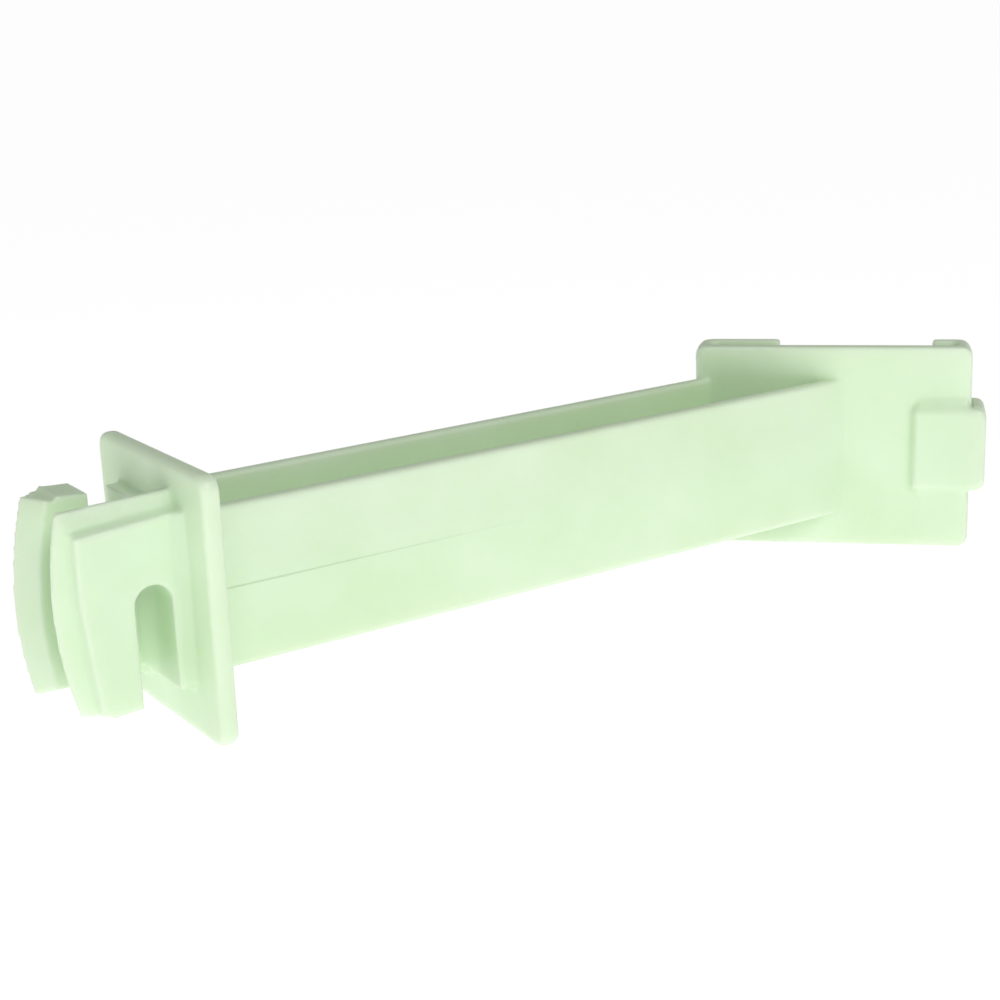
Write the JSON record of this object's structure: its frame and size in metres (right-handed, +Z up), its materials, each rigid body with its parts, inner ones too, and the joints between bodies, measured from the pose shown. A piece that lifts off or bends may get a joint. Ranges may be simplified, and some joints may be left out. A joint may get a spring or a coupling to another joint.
{
  "type": "electric fence insulator",
  "caption": "Offset T-post insulator with a clip-on post clamp, a long channel arm and a square head whose twin jaws hold a fence rope.",
  "frame": {"origin": "on the flat seat face that bears on the post, at the post's centre line and half the clamp's height", "axes": "+X along the arm from the clamp to the head, +Z up along the post, +Y to the side of the jaw that is rooted at the top; the seat face looks along -X and -Y at 45 degrees"},
  "size_m": [0.1705, 0.0462, 0.0402],
  "materials": {
    "moulding": "satin",
    "finger": "satin"
  },
  "bodies": {
    "moulding": {"clamp_front_plate": "moulding", "clamp_left_wall": "moulding", "clamp_left_hook": "moulding", "clamp_right_upper_wall": "moulding", "clamp_right_upper_hook": "moulding", "clamp_right_lower_wall": "moulding", "clamp_right_lower_hook": "moulding", "finger_pad": "moulding", "arm_near_wall": "moulding", "arm_far_wall": "moulding", "arm_centre_web": "moulding", "head_plate": "moulding", "head_boss": "moulding", "near_jaw_root": "moulding", "near_jaw_leg": "moulding", "far_jaw_root": "moulding", "far_jaw_leg": "moulding"},
    "snap_finger": {"snap_finger_leg": "finger", "snap_finger_barb": "finger"}
  },
  "joints": [
    {"name": "snap_finger_flex", "type": "hinge", "parent": "moulding", "child": "snap_finger", "pos_m": [-0.01527, 0.01718, 0], "axis": [0, 0, -1], "range_deg": [0, 12], "stiffness_Nm_per_rad": 1.1}
  ]
}
